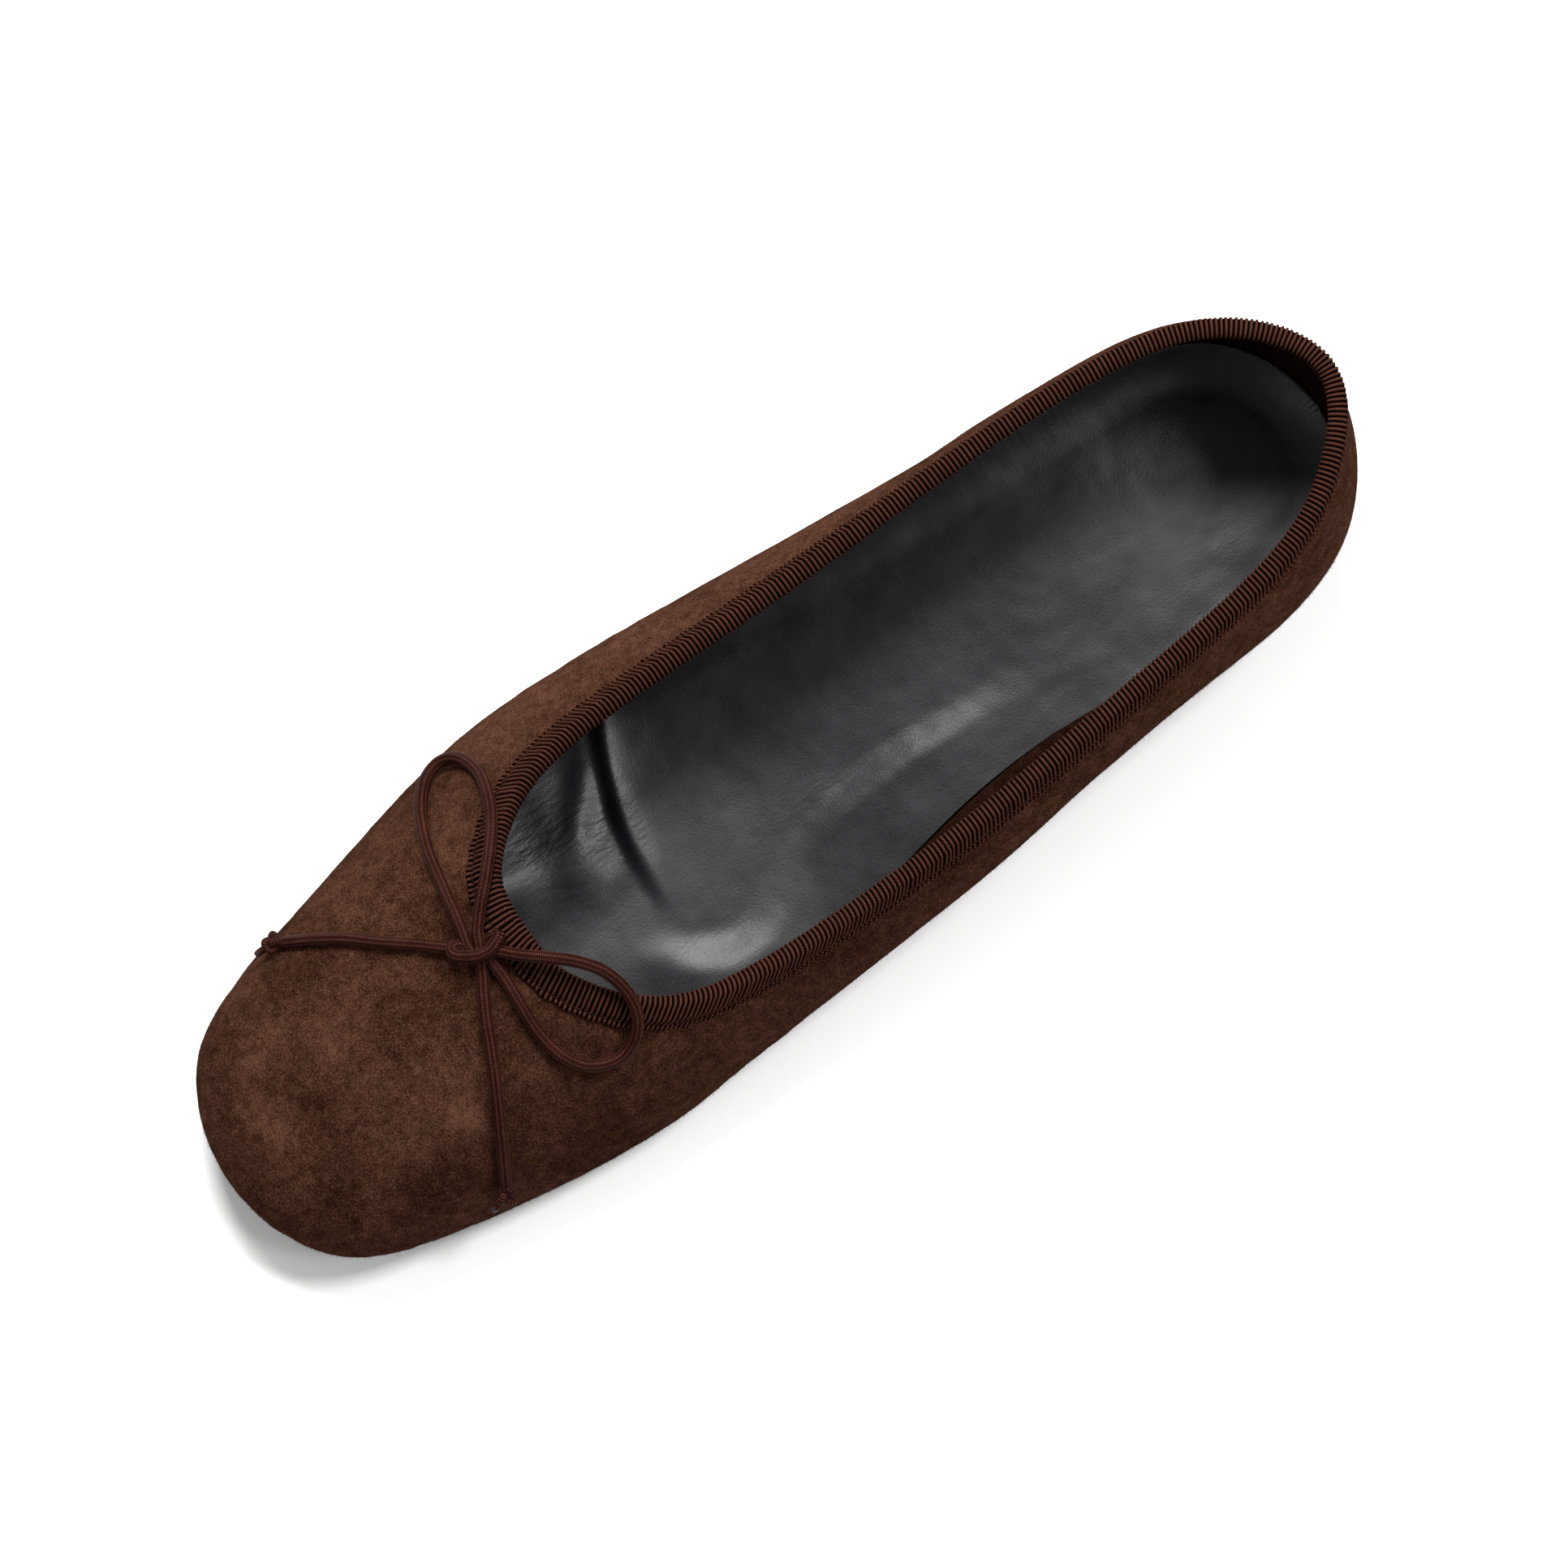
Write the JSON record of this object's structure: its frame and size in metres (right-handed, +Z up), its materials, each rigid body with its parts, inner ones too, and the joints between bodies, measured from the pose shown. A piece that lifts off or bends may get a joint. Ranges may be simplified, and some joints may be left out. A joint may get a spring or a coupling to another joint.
{
  "type": "ballet flat shoe",
  "caption": "Round-toed suede ballet flat with a folded ribbon topline, a tied cord bow on the vamp, a padded insole and a low heel.",
  "frame": {"origin": "centre of the box round the shoe without its bow, at the floor it stands on", "axes": "-Y towards the toe, +Y towards the heel, +X towards the inner side of the foot, -X towards the outer side, +Z up"},
  "size_m": [0.0814, 0.2468, 0.0605],
  "materials": {
    "suede": "matte suede nap",
    "ribbon": "ribbed ribbon",
    "black_leather": "soft satin grain",
    "sole_leather": "smooth matt",
    "heel_stack": "smooth matt",
    "heel_rubber": "matt",
    "cord": "wrapped elastic cord, slight sheen"
  },
  "bodies": {
    "root": {"upper": "suede", "topline_binding": "ribbon", "insole": "black_leather", "outsole": "sole_leather", "heel_block": "heel_stack", "heel_top_piece": "heel_rubber", "bow_knot": "cord", "bow_loop_outer": "cord", "bow_loop_inner": "cord", "bow_end_outer": "cord", "bow_end_inner": "cord", "bow_stop_outer": "cord", "bow_stop_inner": "cord"}
  },
  "joints": []
}
